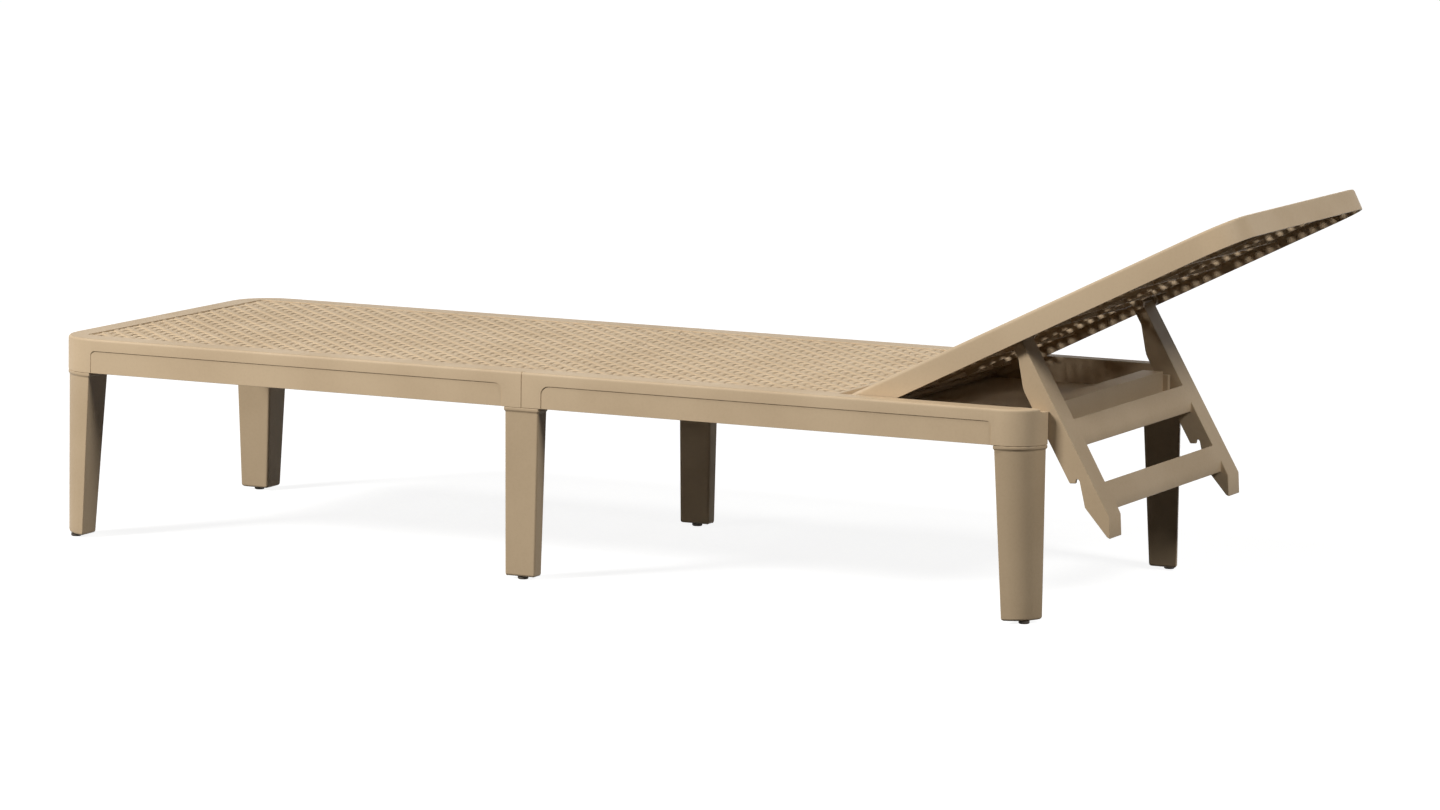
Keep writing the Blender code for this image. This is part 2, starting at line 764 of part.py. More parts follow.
def corner_leg(name, top, bottom, radius, corner, along, across, glide):
    """A corner leg lofted through its sections, from the spigot down to the foot."""
    shape = bmesh.new()
    neck = COLLAR_TOP - COLLAR_HEIGHT
    levels = [
        (top, SPIGOT_INSET, SPIGOT_TOP),
        (top, SPIGOT_INSET, COLLAR_TOP),
        (top, 0, COLLAR_TOP),
        (top, 0, neck),
        (top, COLLAR_STEP, neck - COLLAR_STEP),
        (bottom, COLLAR_STEP, GLIDE_EXPOSED),
    ]
    rings = []
    for extents, inset, z in levels:
        outline = placed(corner_section(extents, radius, inset), corner, along, across)
        rings.append([shape.verts.new((x, y, z)) for x, y in outline])
    stitch(shape, rings)
    obj = new_object(name, shape, RESIN_LEG)
    obj.data.shade_smooth()
    obj.data.set_sharp_from_angle(angle=math.radians(40))
    boolean(obj, stem_bore(f"{name}_bore", glide))
    return obj


def middle_leg(name, across, glide):
    """A flat-sided leg with a forked spigot, one prong in each frame half."""
    shape = bmesh.new()
    corner = (JOINT, HALF_WIDTH * across)
    neck = COLLAR_TOP - COLLAR_HEIGHT
    levels = [
        (MIDDLE_LEG_TOP, 0, COLLAR_TOP),
        (MIDDLE_LEG_TOP, 0, neck),
        (MIDDLE_LEG_TOP, COLLAR_STEP, neck - COLLAR_STEP),
        (MIDDLE_LEG_BOTTOM, COLLAR_STEP, GLIDE_EXPOSED),
    ]
    rings = []
    for extents, inset, z in levels:
        outline = placed(slab_section(extents, inset), corner, 1, -across)
        rings.append([shape.verts.new((x, y, z)) for x, y in outline])
    stitch(shape, rings)
    obj = new_object(name, shape, RESIN_LEG)
    fork = bmesh.new()
    for toward in (-1, 1):
        outline = fork_outline(MIDDLE_LEG_TOP, SPIGOT_INSET, FIT)
        prong = placed(outline, corner, toward, -across)
        add_prism(fork, prong, COLLAR_TOP - COLLAR_STEP, SPIGOT_TOP, plan)
    boolean(obj, new_object(f"{name}_fork", fork), "UNION")
    boolean(obj, stem_bore(f"{name}_bore", glide))
    return obj


def stem_bore(name, place):
    bore = [
        (GLIDE_STEM_RADIUS + FIT, GLIDE_EXPOSED - OVERRUN),
        (GLIDE_STEM_RADIUS + FIT, GLIDE_EXPOSED + GLIDE_STEM + FIT),
    ]
    tool = turned(name, bore, PIN_SIDES)
    tool.location = (*place, 0)
    return tool


def glide(name, place):
    under = GLIDE_EXPOSED - FIT
    profile = [
        (GLIDE_RADIUS - GLIDE_EDGE, 0),
        (GLIDE_RADIUS, GLIDE_EDGE),
        (GLIDE_RADIUS, under),
        (GLIDE_STEM_RADIUS, under),
        (GLIDE_STEM_RADIUS, GLIDE_EXPOSED + GLIDE_STEM),
    ]
    obj = turned(name, profile, PIN_SIDES, "Z", GLIDE_RUBBER)
    obj.location = (*place, 0)
    return obj


def legs_and_glides():
    for side_name, across in (("near", -1), ("far", 1)):
        edge = HALF_WIDTH * across
        foot = (FOOT_END + FOOT_GLIDE_PLACE[0], edge - FOOT_GLIDE_PLACE[1] * across)
        corner_leg(
            f"leg_foot_{side_name}",
            FOOT_LEG_TOP,
            FOOT_LEG_BOTTOM,
            FOOT_CORNER_RADIUS,
            (FOOT_END, edge),
            1,
            -across,
            foot,
        )
        glide(f"glide_foot_{side_name}", foot)
        middle = (JOINT, edge - MIDDLE_GLIDE_DEPTH * across)
        middle_leg(f"leg_middle_{side_name}", across, middle)
        glide(f"glide_middle_{side_name}", middle)
        rear = FOOT_END + FRAME_LENGTH
        head = (rear - HEAD_GLIDE_PLACE[0], edge - HEAD_GLIDE_PLACE[1] * across)
        corner_leg(
            f"leg_head_{side_name}",
            HEAD_LEG_TOP,
            HEAD_LEG_BOTTOM,
            HEAD_CORNER_RADIUS,
            (rear, edge),
            -1,
            -across,
            head,
        )
        glide(f"glide_head_{side_name}", head)


# Backrest


def back_profile():
    """Side view: flat top and rim, and a nose rounded about the hinge axis."""
    top_angle = math.pi - math.asin(BACK_TOP / BACK_NOSE_RADIUS)
    rim_angle = -math.pi - math.asin(BACK_BOTTOM / BACK_NOSE_RADIUS)
    nose = arc(Vector((0, 0)), BACK_NOSE_RADIUS, top_angle, rim_angle)
    return [*nose, (BACK_REACH + OVERRUN, BACK_BOTTOM), (BACK_REACH + OVERRUN, BACK_TOP + OVERRUN),
            (nose[0][0], BACK_TOP + OVERRUN)]


def tab_outline(centre, radius, top):
    """A hanging tab: square at the top, round about its bore."""
    curve = arc(Vector(centre), radius, math.pi, 3 * math.pi / 2)[:-1]
    curve += arc(Vector(centre), radius, 3 * math.pi / 2, 2 * math.pi)
    return [*curve, (centre[0] + radius, top), (centre[0] - radius, top)]


def back_tabs():
    """Hinge lugs and prop ears under the panel."""
    shape = bmesh.new()
    top = BACK_TOP - BACK_PLATE / 2
    lug = tab_outline((0, 0), LUG_RADIUS, top)
    for near, far in mirrored(LUG_START, LUG_START + LUG_THICKNESS):
        add_prism(shape, lug, near, far, side)
    ear = tab_outline(PROP_LOCAL, EAR_RADIUS, top)
    outer = ARM_START - EAR_GAP
    inner = ARM_START + ARM_WIDTH + EAR_GAP
    for start, end in ((outer - EAR_THICKNESS, outer), (inner, inner + EAR_THICKNESS)):
        for near, far in mirrored(start, end):
            add_prism(shape, ear, near, far, side)
    return new_object("back_tabs", shape)


def back_bores():
    shape = bmesh.new()
    for near, far in mirrored(BACK_SIDE_MARGIN - OVERRUN, LUG_START + LUG_THICKNESS + OVERRUN / 2):
        bar_through(shape, (0, 0), PIN_RADIUS + RUNNING_FIT, near, far, PIN_SIDES)
    outer = ARM_START - EAR_GAP - EAR_THICKNESS
    inner = ARM_START + ARM_WIDTH + EAR_GAP + EAR_THICKNESS
    for near, far in mirrored(outer - FIT, inner + FIT):
        bar_through(shape, PROP_LOCAL, PIN_RADIUS + FIT, near, far, PIN_SIDES)
    return new_object("back_bore_cut", shape)


def backrest():
    half = HALF_WIDTH - BACK_SIDE_MARGIN
    nose = -math.sqrt(BACK_NOSE_RADIUS**2 - BACK_TOP**2)
    outline = fillet(
        [
            (nose - OVERRUN, -half, 0),
            (BACK_REACH, -half, BACK_CORNER_RADIUS),
            (BACK_REACH, half, BACK_CORNER_RADIUS),
            (nose - OVERRUN, half, 0),
        ]
    )
    shape = bmesh.new()
    add_prism(shape, outline, BACK_BOTTOM - OVERRUN, BACK_TOP, plan)
    round_top(shape, BACK_TOP, BACK_EDGE_RADIUS, lambda e: max(v.co.x for v in e.verts) < nose)
    obj = new_object("backrest", shape, RESIN_BACK)
    boolean(obj, prism("back_profile", back_profile(), -HALF_WIDTH, HALF_WIDTH, side), "INTERSECT")

    inner = half - BACK_WALL
    front = BACK_WALL - BACK_NOSE_RADIUS
    inside = fillet(
        [
            (front, -inner, 0),
            (BACK_REACH - BACK_WALL, -inner, BACK_CORNER_RADIUS - BACK_WALL),
            (BACK_REACH - BACK_WALL, inner, BACK_CORNER_RADIUS - BACK_WALL),
            (front, inner, 0),
        ]
    )
    boolean(obj, prism("back_hollow_cut", inside, BACK_BOTTOM - OVERRUN, BACK_RIB_BOTTOM))
    columns, rows = back_stations(inner)
    boolean(obj, back_pockets(inner, columns, rows))
    grid_end = BACK_REACH - BACK_WALL
    grid = open_grid(
        "back_grid_cut",
        [*columns, grid_end],
        rows[1:-1],
        BACK_RIB_BOTTOM - OVERRUN,
        BACK_TOP + OVERRUN,
    )
    boolean(obj, grid)
    boolean(obj, back_tabs(), "UNION")
    boolean(obj, back_bores())
    obj.location = HINGE
    obj.rotation_euler = (0, -BACK_ANGLE, 0)
    return obj


def back_stations(inner):
    """Rib stations: cross ribs clear of the prop's pivots, and long ribs."""
    swing = EAR_RADIUS + ARM_HEAD
    first = LUG_RADIUS + RIB
    columns = [
        *stations(first, PROP_REACH - swing, 2),
        PROP_REACH + swing,
        *stations(PROP_REACH + swing, BACK_REACH - BACK_CORNER_RADIUS - RIB, 3)[1:],
    ]
    ear_end = ARM_START + ARM_WIDTH + EAR_GAP + EAR_THICKNESS
    edge = HALF_WIDTH - ear_end + RIB / 2
    rows = [-inner - RIB / 2, *stations(-edge, edge, 4), inner + RIB / 2]
    return columns, rows


def back_pockets(inner, columns, rows):
    """Pockets that leave the ribs, with rounded ones in the corners of the tip."""
    shape = bmesh.new()
    edge = rows[-2]
    low, high = BACK_RIB_BOTTOM - OVERRUN, BACK_TOP - BACK_PLATE
    pocket_grid(shape, columns, rows, low, high, set())
    tip = BACK_REACH - BACK_WALL
    last = columns[-1] + RIB / 2
    for near, far in zip(rows[1:-1], rows[2:-1]):
        outline = box_outline(last, tip, near + RIB / 2, far - RIB / 2)
        add_prism(shape, outline, low, high, plan)
    radius = BACK_CORNER_RADIUS - BACK_WALL
    for across in (-1, 1):
        outline = fillet(
            [
                (last, across * inner, 0),
                (tip, across * inner, radius),
                (tip, across * (edge + RIB / 2), 0),
                (last, across * (edge + RIB / 2), 0),
            ]
        )
        add_prism(shape, outline, low, high, plan)
    start = columns[0] - RIB / 2
    for near, far in zip(rows[1:-1], rows[2:-1]):
        outline = box_outline(-LUG_RADIUS, start, near + RIB / 2, far - RIB / 2)
        add_prism(shape, outline, low, high, plan)
    return new_object("back_pocket_cut", shape)


def pin(name, start, end, across, centre, look, head=None):
    """A pin along Y, with an optional head at its outer end, from the near edge inwards."""
    length = end - start
    profile = [(PIN_RADIUS, 0), (PIN_RADIUS, length)]
    if head:
        profile = [(head, 0), (head, PIN_HEAD), (PIN_RADIUS, PIN_HEAD), (PIN_RADIUS, length)]
    profile = [(radius, (start - HALF_WIDTH + y) * -across) for radius, y in profile]
    obj = turned(name, profile, PIN_SIDES, "Y", look)
    obj.location = (centre[0], 0, centre[1])
    return obj


def hinge_pin(name, across):
    start = RAIL_WIDTH - APRON_WALL - FIT - PIN_HEAD
    end = LUG_START + LUG_THICKNESS + FIT
    return pin(name, start, end, across, (HINGE.x, HINGE.z), PIN_RESIN, PIN_HEAD_RADIUS)


def prop_pivot():
    """World (x, z) of the prop's pivot axis at rest."""
    cos, sin = math.cos(BACK_ANGLE), math.sin(BACK_ANGLE)
    x = HINGE.x + PROP_LOCAL.x * cos - PROP_LOCAL.y * sin
    z = HINGE.z + PROP_LOCAL.x * sin + PROP_LOCAL.y * cos
    return x, z


def prop_pin(name, across):
    start = ARM_START - EAR_GAP - EAR_THICKNESS
    end = ARM_START + ARM_WIDTH + EAR_GAP + EAR_THICKNESS
    return pin(name, start, end, across, prop_pivot(), PIN_RESIN)


# Prop, in its own frame: x towards the rear face, z up the arm, the pivot at the origin


def arm_point(s, t):
    """A point s down the arm and t to the rear, as (x, z)."""
    return t, -s


def arm_outline():
    """Side view of an arm: straight rear face, deepening front, hook tooth and cut foot."""
    end_slope = ARM_DEPTH / 2
    corners = [
        (-ARM_HEAD, ARM_REAR, LEG_EDGE_RADIUS / 2),
        (ARM_LENGTH - end_slope * 2, ARM_REAR, 0),
        (ARM_LENGTH, ARM_REAR - end_slope, 0),
        (ARM_LENGTH - HOOK_SLOT / 2, -ARM_NECK, 0),
        (TOOTH_AT + ARM_DEPTH + HOOK_SLOT, -ARM_DEPTH + HOOK_SLOT / 2, 0),
        (TOOTH_AT, HOOK_SLOT_DEPTH / 2 - ARM_DEPTH + HOOK_SLOT_DEPTH / 2, 0),
        (TOOTH_AT - HOOK_SLOT, HOOK_SLOT_DEPTH - ARM_DEPTH, HOOK_SLOT / 4),
        (TOOTH_AT, -ARM_DEPTH + HOOK_SLOT, 0),
        (TOOTH_AT - HOOK_SLOT / 2, -ARM_DEPTH, HOOK_SLOT / 4),
        (ARM_SHOULDER, -ARM_DEPTH, ARM_SHOULDER / 2),
        (ARM_NECK_END, -ARM_NECK, ARM_NECK_END / 2),
        (-ARM_HEAD, -ARM_NECK, ARM_NECK / 2),
    ]
    outline = fillet([(*arm_point(s, t), radius) for s, t, radius in corners])
    return [(point[0], point[1]) for point in outline]


def rung_outline(start):
    """A plate flush with the arms' rear face, bent to hang upright."""
    lean = PROP_LEAN
    down = (math.cos(lean), -math.sin(lean))
    inward = (-math.sin(lean), -math.cos(lean))
    bend = (start + RUNG_BACK, ARM_REAR)
    foot = (bend[0] + RUNG_FACE * down[0], bend[1] + RUNG_FACE * down[1])
    inner_foot = (foot[0] + RUNG_PLATE * inward[0], foot[1] + RUNG_PLATE * inward[1])
    setback = RUNG_PLATE * math.tan(lean / 2)
    inner_bend = (bend[0] - setback, ARM_REAR - RUNG_PLATE)
    points = [(start, ARM_REAR), bend, foot, inner_foot, inner_bend, (start, ARM_REAR - RUNG_PLATE)]
    return [arm_point(s, t) for s, t in points]


def channel_outline():
    """Cutter for the hollow of an arm, open to the front."""
    floor = ARM_REAR - ARM_FLANGE
    front = -ARM_DEPTH - OVERRUN
    foot = ARM_LENGTH - ARM_FLANGE
    points = [
        (-ARM_HEAD - OVERRUN, floor),
        (foot - ARM_DEPTH / 2, floor),
        (foot, -ARM_NECK),
        (foot, front),
        (-ARM_HEAD - OVERRUN, front),
    ]
    return [arm_point(s, t) for s, t in points]


def prop_ladder():
    bands = mirrored(ARM_START, ARM_START + ARM_WIDTH)
    obj = prism("prop_ladder", arm_outline(), *bands[0], side, RESIN_PROP)
    boolean(obj, prism("far_arm", arm_outline(), *bands[1], side), "UNION")
    shape = bmesh.new()
    for near, far in mirrored(ARM_START + ARM_WEB, ARM_START + ARM_WIDTH - ARM_WEB):
        add_prism(shape, channel_outline(), near, far, side)
    boolean(obj, new_object("channel_cut", shape))
    rungs = bmesh.new()
    reach = HALF_WIDTH - ARM_START - ARM_WIDTH + ARM_WEB / 2
    for start in RUNG_PLACES:
        add_prism(rungs, rung_outline(start), -reach, reach, side)
    boolean(obj, new_object("rungs", rungs), "UNION")
    bores = bmesh.new()
    for near, far in mirrored(ARM_START - OVERRUN, ARM_START + ARM_WIDTH + OVERRUN):
        bar_through(bores, (0, 0), PIN_RADIUS + RUNNING_FIT, near, far, PIN_SIDES)
    boolean(obj, new_object("prop_bore_cut", bores))
    x, z = prop_pivot()
    obj.location = (x, 0, z)
    obj.rotation_euler = (0, -PROP_LEAN, 0)
    return obj


def main():
    clear_scene()
    foot_frame()
    head_frame()
    legs_and_glides()
    for index, y in bolt_places():
        joint_bolt(f"joint_bolt_{index}", y)
        joint_nut(f"joint_nut_{index}", y)
    backrest()
    prop_ladder()
    for name, across in (("near", -1), ("far", 1)):
        catch_bar(f"catch_bar_{name}", across)
        hinge_pin(f"hinge_pin_{name}", across)
        prop_pin(f"prop_pin_{name}", across)


main()
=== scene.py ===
import json
import math

import bmesh
import bpy
from mathutils import Matrix, Vector


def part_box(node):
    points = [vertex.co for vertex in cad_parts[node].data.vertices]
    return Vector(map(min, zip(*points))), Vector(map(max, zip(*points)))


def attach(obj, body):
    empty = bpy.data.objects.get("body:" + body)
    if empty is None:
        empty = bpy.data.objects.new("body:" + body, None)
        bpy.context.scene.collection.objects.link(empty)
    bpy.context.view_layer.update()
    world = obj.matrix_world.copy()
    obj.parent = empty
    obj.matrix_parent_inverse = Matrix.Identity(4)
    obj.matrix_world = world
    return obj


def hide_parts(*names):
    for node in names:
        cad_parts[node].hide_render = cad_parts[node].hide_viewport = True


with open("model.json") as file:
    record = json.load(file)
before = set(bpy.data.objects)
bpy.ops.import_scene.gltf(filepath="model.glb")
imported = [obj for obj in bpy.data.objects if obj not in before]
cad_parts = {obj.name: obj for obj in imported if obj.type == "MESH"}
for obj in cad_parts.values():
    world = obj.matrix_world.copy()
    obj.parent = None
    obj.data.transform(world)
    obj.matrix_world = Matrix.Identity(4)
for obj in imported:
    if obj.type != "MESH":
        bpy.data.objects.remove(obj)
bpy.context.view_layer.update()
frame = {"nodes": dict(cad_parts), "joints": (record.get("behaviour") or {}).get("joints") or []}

# One strand of the weave, in metres
PITCH = 0.01725
STRAND_WIDTH = 0.0104
STRAND_THICKNESS = 0.0016
STRAND_CROWN = 0.0030
STRAND_SHARP = math.radians(50)
WAVE_HEIGHT = 0.0011
WAVE_CUTS = 7

# How near the vertices of a ring are to it, and how near two rows are where they are merged
RING_REACH = PITCH / 40
ROW_JOIN = PITCH / 400

# How the weave lies in a moulding: how far below its top, how far the strands' ends go into it,
# the half gap at the joint of the deck, and how far the cut there runs on
WEAVE_BELOW_TOP = 0.0002
STRAND_SEAT = 0.002
SEAM = 0.0003
OVERRUN = 0.005

# Pitches from a field's origin to the middle of its last strand, and what lies past that strand
LAST_HOLE = PITCH - STRAND_WIDTH / 2
DECK_HALF_ROWS = 14
FOOT_ROWS = 41
HEAD_ROWS = 26
BACK_HALF_ROWS = 13

# Roundings, in metres and in segments
MOULDED_EDGE = 0.0004
LEG_EDGE = 0.0010
LEG_FOOT_EDGE = 0.0035
PROP_EDGE = 0.0009
FIELD_CORNER = PITCH / 2
CROWN_SEGMENTS = 2
EDGE_SEGMENTS = 2
FOOT_SEGMENTS = 3
CORNER_SEGMENTS = 5

# What counts as sharp, flat, facing a way, one vertex, and lying in a plane
SHARP = math.radians(38)
FLAT = math.radians(0.4)
FACING = 0.9
JOIN = 1e-6
FLUSH = 1e-5

# The plate under the weave, and how deep it is cut out
PLATE = 0.004
PLATE_CUT = 0.0041

# The height of the legs' rims, and a height that only the faces of their sides reach from there
RIM_HEIGHT = 0.0045
LEG_SIDE_REACH = 0.06

# How far the recess for the lowered backrest is let out on each side
RECESS_EASE = 0.0003

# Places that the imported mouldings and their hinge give
FOOT_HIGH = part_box("foot_frame")[1]
DECK_TOP = FOOT_HIGH.z
JOINT = (FOOT_HIGH.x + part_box("head_frame")[0].x) / 2
HINGE = Vector(next(j for j in frame["joints"] if j["name"] == "backrest_hinge")["pos_m"])

# The backrest as it stands, measured from its hinge along its own plane
BACK_ANGLE = math.radians(26.6)
BACK_TOP = 0.0136
BACK_LAST_STRAND = 0.5597
BACK_WEAVE_START = 0.0262
BACK_WEAVE_END = 0.5872

# Studio, in metres and watts. The floor's glow fades to white from its near to its far reach.
FLOOR_SIZE = 60
FLOOR_NEAR = 0.8
FLOOR_FAR = 3.5
FLOOR_BOUNCE = (0.020, 0.016, 0.012)
FLOOR_PAPER = (0.30, 0.30, 0.30)
FLOOR_GLOW = (0.90, 0.90, 0.90)
WHITE = (1, 1, 1)
ROOM_COLOUR = (1.0, 0.86, 0.70)
ROOM_STRENGTH = 0.025
KEY_LIGHT = {
    "place": (-3.6, -4.8, 3.9),
    "target": (0, 0, 0.3),
    "size": 1.5,
    "power": 485,
    "colour": (1.0, 0.985, 0.96),
}
HEAD_LIGHT = {
    "place": (4.5, -1.2, 3.8),
    "target": (0.4, 0, 0.3),
    "size": 1.2,
    "power": 152,
    "colour": (1.0, 0.99, 0.97),
}

# Camera that was fitted to the photograph's straight edges, in degrees, metres and millimetres
CAMERA_YAW_PITCH_ROLL = (25.1950, 7.6664, 0.8923)
CAMERA_PLACE = (3.73079, -7.87801, 1.39441)
CAMERA_REACH = 200
SENSOR_WIDTH = 36
LENS = 155.80


# Shader maths


class Socket:
    """A value in a node tree that can be used in sums."""

    def __init__(self, nodes, socket):
        self.nodes = nodes
        self.socket = socket

    def sum(self, operation, first, second):
        return self.nodes.node("ShaderNodeMath", {0: first, 1: second}, operation=operation)

    def __add__(self, other):
        return self.sum("ADD", self, other)

    def __radd__(self, other):
        return self.sum("ADD", other, self)

    def __mul__(self, other):
        return self.sum("MULTIPLY", self, other)

    def __rmul__(self, other):
        return self.sum("MULTIPLY", other, self)


class Nodes:
    """A node tree, with one method that adds any node."""

    def __init__(self, tree):
        self.tree = tree

    def node(self, kind, inputs, output=0, **settings):
        made = self.tree.nodes.new(kind)
        for key, value in settings.items():
            setattr(made, key, value)
        for key, value in inputs.items():
            self.feed(made.inputs[key], value)
        return Socket(self, made.outputs[output])

    def feed(self, target, value):
        if isinstance(value, Socket):
            self.tree.links.new(value.socket, target)
        else:
            target.default_value = value

    def between(self, share, first, second):
        """A colour between two others."""
        return self.node(
            "ShaderNodeMix", {0: share, 6: (*first, 1), 7: (*second, 1)}, 2, data_type="RGBA"
        )

    def eased(self, value, low, high):
        """0 up to the low value, 1 from the high value on, and a soft step in between."""
        return self.node(
            "ShaderNodeMapRange", {0: value, 1: low, 2: high}, interpolation_type="SMOOTHSTEP"
        )

    def seen(self):
        """1 to the camera's eye, straight or mirrored, and 0 to all other light."""
        camera = self.node("ShaderNodeLightPath", {}, "Is Camera Ray")
        glossy = self.node("ShaderNodeLightPath", {}, "Is Glossy Ray")
        return self.node("ShaderNodeMath", {0: camera, 1: glossy}, operation="MAXIMUM")


class Finish(Nodes):
    """One material, with its shader."""

    def __init__(self, name):
        self.material = bpy.data.materials.new(name)
        self.material.use_nodes = True
        super().__init__(self.material.node_tree)
        self.shader = self.tree.nodes["Principled BSDF"]

    def shade(self, name, value):
        self.feed(self.shader.inputs[name], value)

    def place(self):
        return self.node("ShaderNodeTexCoord", {}, "Object")

    def noise(self, scale, detail, roughness=0.5):
        return self.node(
            "ShaderNodeTexNoise",
            {"Vector": self.place(), "Scale": scale, "Detail": detail, "Roughness": roughness},
            "Fac",
        )

    def relief(self, height, depth, strength):
        """Fine relief that is too small to model."""
        bump = {"Strength": strength, "Distance": depth, "Height": height}
        self.shade("Normal", self.node("ShaderNodeBump", bump))


def moulded_resin(name, light, dark, rough):
    """Matt moulded resin: fine spark-eroded grain, faint mottling and weathered patches."""
    finish = Finish(name)
    patches = finish.eased(finish.noise(7.0, detail=3.0), low=0.35, high=0.68)
    flecks = finish.eased(finish.noise(260.0, detail=2.0), low=0.40, high=0.72)
    finish.shade("Base Color", finish.between(0.75 * patches + 0.25 * flecks, light, dark))
    finish.shade("Roughness", rough + patches * 0.06 + flecks * 0.05)
    finish.shade("Specular IOR Level", 0.16)
    grain = finish.noise(1500.0, detail=3.0, roughness=0.6)
    pebble = finish.noise(420.0, detail=2.0)
    finish.relief(grain * 0.6 + pebble * 0.4, depth=0.00012, strength=0.30)
    return finish.material


def glide_rubber():
    """Dark rubber, dusty in patches."""
    finish = Finish("glide_rubber_worn")
    dust = finish.eased(finish.noise(90.0, detail=4.0), low=0.42, high=0.70)
    clean = (0.060, 0.047, 0.036)
    dusty = (0.13, 0.11, 0.088)
    finish.shade("Base Color", finish.between(dust, clean, dusty))
    finish.shade("Roughness", 0.70 + dust * 0.15)
    finish.relief(finish.noise(800.0, detail=3.0), depth=0.0002, strength=0.4)
    return finish.material


def plated_steel():
    """Zinc-plated steel with a fine grain and dull spots."""
    finish = Finish("plated_steel_drawn")
    spots = finish.eased(finish.noise(350.0, detail=4.0), low=0.50, high=0.72)
    bright = (0.62, 0.61, 0.57)
    dull = (0.42, 0.40, 0.36)
    finish.shade("Base Color", finish.between(spots, bright, dull))
    finish.shade("Roughness", 0.28 + spots * 0.25)
    finish.shade("Metallic", 1.0)
    finish.relief(finish.noise(1400.0, detail=2.0), depth=0.00008, strength=0.25)
    return finish.material


# Modelling helpers


def deselect():
    bpy.ops.object.select_all(action="DESELECT")


def pick(obj):
    deselect()
    obj.select_set(True)
    bpy.context.view_layer.objects.active = obj


def copied(obj, name):
    """A copy with its own mesh."""
    twin = bpy.data.objects.new(name, obj.data.copy())
    bpy.context.scene.collection.objects.link(twin)
    return twin


def select(kind, test):
    """In edit mode, selects the vertices, edges or faces that pass the test."""
    bpy.ops.mesh.select_mode(type=kind)
    bpy.ops.mesh.select_all(action="DESELECT")
    mesh = bpy.context.object.data
    edited = bmesh.from_edit_mesh(mesh)
    group = {"VERT": edited.verts, "EDGE": edited.edges, "FACE": edited.faces}[kind]
    for item in group:
        if test(item):
            item.select_set(True)
    edited.select_flush_mode()
    bmesh.update_edit_mesh(mesh)


def along_x(edge):
    run = edge.verts[1].co - edge.verts[0].co
    return abs(run.x) > abs(run.y) + abs(run.z)


def strand_wave():
    """Two pitches of one strand: a crowned strip that goes over one crossing and under the next."""
    deselect()
    bpy.ops.mesh.primitive_cube_add(size=1)
    strand = bpy.context.object
    strand.name = "strand_wave"
    strand.scale = (2 * PITCH, STRAND_WIDTH, STRAND_THICKNESS)
    bpy.ops.object.transform_apply(location=False, rotation=False, scale=True)
    bpy.ops.object.mode_set(mode="EDIT")
    select("FACE", lambda face: abs(face.normal.x) > FACING)
    bpy.ops.mesh.delete(type="FACE")
    select("EDGE", lambda edge: along_x(edge) and edge.verts[0].co.z > 0)
    bpy.ops.mesh.bevel(
        offset=STRAND_CROWN, offset_type="WIDTH", segments=CROWN_SEGMENTS, affect="EDGES"
    )
    select("EDGE", along_x)
    bpy.ops.mesh.subdivide(number_cuts=WAVE_CUTS)
    for step in range(WAVE_CUTS + 2):
        x = PITCH * (2 * step / (WAVE_CUTS + 1) - 1)
        select("VERT", lambda vert: abs(vert.co.x - x) < RING_REACH)
        lift = WAVE_HEIGHT * math.cos(math.pi * x / PITCH)
        bpy.ops.transform.translate(value=(0, 0, lift))
    bpy.ops.object.mode_set(mode="OBJECT")
    return strand


def repeated(obj, count, offset):
    pick(obj)
    array = obj.modifiers.new("rows", "ARRAY")
    array.count = count
    array.use_relative_offset = False
    array.use_constant_offset = True
    array.constant_offset_displace = offset
    array.use_merge_vertices = True
    array.merge_threshold = ROW_JOIN
    bpy.ops.object.modifier_apply(modifier=array.name)


def strand_rows(wave, name, field, start, crosswise):
    """Parallel strands over the whole field, every second one of the weave."""
    strands = copied(wave, name)
    if crosswise:
        strands.rotation_euler.z = math.pi / 2
    strands.location = (start[0] * PITCH, start[1] * PITCH, 0)
    pick(strands)
    bpy.ops.object.transform_apply()
    (low_x, low_y), (high_x, high_y) = field
    repeated(strands, math.ceil((high_x - low_x) / (2 * PITCH)) + 2, (2 * PITCH, 0, 0))
    repeated(strands, math.ceil((high_y - low_y) / (2 * PITCH)) + 2, (0, 2 * PITCH, 0))
    cuts = [
        ((low_x, 0, 0), (-1, 0, 0)),
        ((high_x, 0, 0), (1, 0, 0)),
        ((0, low_y, 0), (0, -1, 0)),
        ((0, high_y, 0), (0, 1, 0)),
    ]
    bpy.ops.object.mode_set(mode="EDIT")
    for place, outward in cuts:
        bpy.ops.mesh.select_all(action="SELECT")
        bpy.ops.mesh.bisect(
            plane_co=place, plane_no=outward, use_fill=True, clear_outer=True, threshold=JOIN
        )
    bpy.ops.object.mode_set(mode="OBJECT")
    return strands


def weave(wave, name, field):
    """Plain weave of crowned strands that fills a field, its crossing (0, 0) at the origin."""
    low_x, low_y = field[0]
    first_x = 2 * math.floor(low_x / (2 * PITCH))
    first_y = 2 * math.floor(low_y / (2 * PITCH))
    sets = [
        strand_rows(wave, f"{name}_1", field, (first_x, first_y), False),
        strand_rows(wave, f"{name}_2", field, (first_x - 1, first_y + 1), False),
        strand_rows(wave, f"{name}_3", field, (first_x, first_y - 1), True),
        strand_rows(wave, f"{name}_4", field, (first_x + 1, first_y), True),
    ]
    deselect()
    for strands in sets:
        strands.select_set(True)
    bpy.context.view_layer.objects.active = sets[0]
    bpy.ops.object.join()
    whole = bpy.context.object
    whole.name = name
    whole.data.name = name
    bpy.ops.object.shade_smooth_by_angle(angle=STRAND_SHARP)
    return whole


def put(obj, place, lean):
    """Moves a piece that was modelled flat at the origin to its place, and applies it."""
    obj.matrix_world = Matrix.Translation(place) @ Matrix.Rotation(-lean, 4, "Y")
    pick(obj)
    bpy.ops.object.transform_apply()


